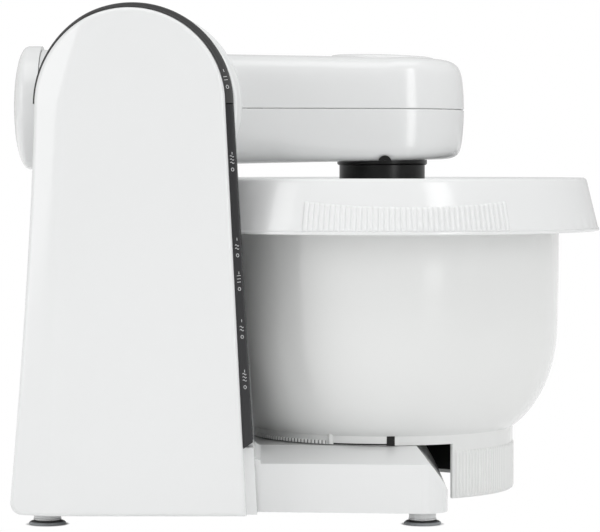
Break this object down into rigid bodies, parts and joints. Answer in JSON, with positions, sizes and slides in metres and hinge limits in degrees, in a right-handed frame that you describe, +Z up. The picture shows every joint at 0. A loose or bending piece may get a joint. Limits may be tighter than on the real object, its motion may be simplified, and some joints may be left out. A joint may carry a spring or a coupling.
{
  "type": "stand mixer",
  "caption": "Compact kitchen mixer: tall side tower, swivel arm with motor and planetary gears, dough hook, and a bowl with a wide lid on a low platform with suction feet.",
  "frame": {"origin": "on the table, under the middle of the machine's outline", "axes": "+X from the tower towards the bowl and along the arm, +Y away from the tower's outer face, +Z up"},
  "size_m": [0.3726, 0.2766, 0.3145],
  "materials": {
    "white_plastic": "smooth, slightly glossy",
    "bowl_plastic": "smooth, satin",
    "grey_trim": "glossy dark grey",
    "dark_strip": "glossy near black",
    "black_plastic": "glossy black",
    "grey_plastic": "satin light grey",
    "foot_rubber": "soft dark rubber",
    "gear_plastic": "moulded gear plastic",
    "steel": "plain steel",
    "zinc": "die cast",
    "bronze": "sintered bronze",
    "copper": "enamelled copper",
    "carbon": "pressed carbon",
    "switch_blue": "moulded switch body"
  },
  "bodies": {
    "stand": {"tower_shell": "white_plastic", "tower_inner_shell": "white_plastic", "arch_trim": "grey_trim", "front_trim": "dark_strip", "platform": "white_plastic", "base_plate": "grey_plastic", "foot_posts": "grey_plastic", "suction_foot_near_rear": "foot_rubber", "suction_foot_near_front": "foot_rubber", "suction_foot_far_rear": "foot_rubber", "suction_foot_far_front": "foot_rubber", "bowl_seat": "grey_plastic", "pivot_frame": "zinc", "pivot_bush_near": "bronze", "pivot_bush_far": "bronze", "lever_pin": "steel", "switch_module": "switch_blue", "cord_inlet": "black_plastic", "housing_screws": "steel", "base_screws": "steel"},
    "arm": {"arm_upper_shell": "white_plastic", "arm_lower_shell": "white_plastic", "pivot_axle": "steel", "axle_clip": "steel", "index_disc": "steel", "motor_stator": "steel", "stator_windings": "copper", "motor_shield_front": "zinc", "motor_shield_rear": "zinc", "brush_holders": "bronze", "carbon_brushes": "carbon", "motor_bearings": "steel", "gearbox_housing": "zinc", "gearbox_cover": "zinc", "ring_gear": "gear_plastic", "drive_collar": "black_plastic", "arm_screws": "steel"},
    "rotor": {"motor_shaft": "steel", "armature": "steel", "commutator": "copper", "cooling_fan": "black_plastic", "worm": "steel", "blender_coupling": "black_plastic"},
    "gear_shaft": {"worm_wheel": "gear_plastic", "intermediate_shaft": "steel"},
    "drive_head": {"main_gear": "gear_plastic", "main_shaft": "steel", "planet_carrier": "black_plastic", "slow_drive_coupling": "black_plastic"},
    "tool": {"planet_gear": "gear_plastic", "tool_spindle": "steel", "dough_hook": "steel"},
    "rear_cover": {"rear_cover": "white_plastic"},
    "top_cover": {"top_cover": "white_plastic"},
    "speed_knob": {"speed_knob": "grey_plastic"},
    "release_button": {"release_button": "grey_plastic", "latch_spring": "steel"},
    "latch_lever": {"latch_lever": "steel"},
    "bowl": {"bowl": "bowl_plastic"},
    "lid": {"lid": "white_plastic"}
  },
  "joints": [
    {"name": "arm_swivel", "type": "hinge", "parent": "stand", "child": "arm", "pos_m": [-0.104, -0.0725, 0.2545], "axis": [0, -1, 0], "range_deg": [0, 65]},
    {"name": "motor_spin", "type": "hinge", "parent": "arm", "child": "rotor", "pos_m": [-0.052, 0, 0.2545], "axis": [1, 0, 0], "continuous": true},
    {"name": "gear_shaft_spin", "type": "hinge", "parent": "arm", "child": "gear_shaft", "pos_m": [0.0179, 0.02235, 0.2545], "axis": [0, 0, 1], "continuous": true},
    {"name": "drive_head_spin", "type": "hinge", "parent": "arm", "child": "drive_head", "pos_m": [0.048, 0, 0.242], "axis": [0, 0, 1], "continuous": true},
    {"name": "tool_spin", "type": "hinge", "parent": "drive_head", "child": "tool", "pos_m": [0.03, 0, 0.23], "axis": [0, 0, 1], "continuous": true},
    {"name": "rear_cover_slide", "type": "slide", "parent": "arm", "child": "rear_cover", "axis": [-1, 0, 0], "range_m": [0, 0.004]},
    {"name": "top_cover_slide", "type": "slide", "parent": "arm", "child": "top_cover", "axis": [0, 0, 1], "range_m": [0, 0.03]},
    {"name": "speed_knob_turn", "type": "hinge", "parent": "stand", "child": "speed_knob", "pos_m": [-0.12, 0.055, 0.095], "axis": [0, 1, 0], "range_deg": [-30, 120]},
    {"name": "release_press", "type": "slide", "parent": "stand", "child": "release_button", "axis": [0, -1, 0], "range_m": [0, 0.005], "stiffness_N_per_m": 800, "springref_m": -0.004, "deforming": ["latch_spring"]},
    {"name": "latch_lever_turn", "type": "hinge", "parent": "stand", "child": "latch_lever", "pos_m": [-0.104, -0.0725, 0.2], "axis": [-1, 0, 0], "range_deg": [0, 6]},
    {"name": "bowl_turn", "type": "hinge", "parent": "stand", "child": "bowl", "pos_m": [0.048, 0, 0.1], "axis": [0, 0, 1], "range_deg": [0, 15]},
    {"name": "lid_lift", "type": "slide", "parent": "bowl", "child": "lid", "axis": [0, 0, 1], "range_m": [0, 0.006]}
  ],
  "couplings": [
    {"joint": "gear_shaft_spin", "follows": "motor_spin", "ratio": 0.033333},
    {"joint": "drive_head_spin", "follows": "motor_spin", "ratio": -0.011111},
    {"joint": "tool_spin", "follows": "motor_spin", "ratio": 0.033333},
    {"joint": "latch_lever_turn", "follows": "release_press", "rad_per_m": 17.5}
  ]
}
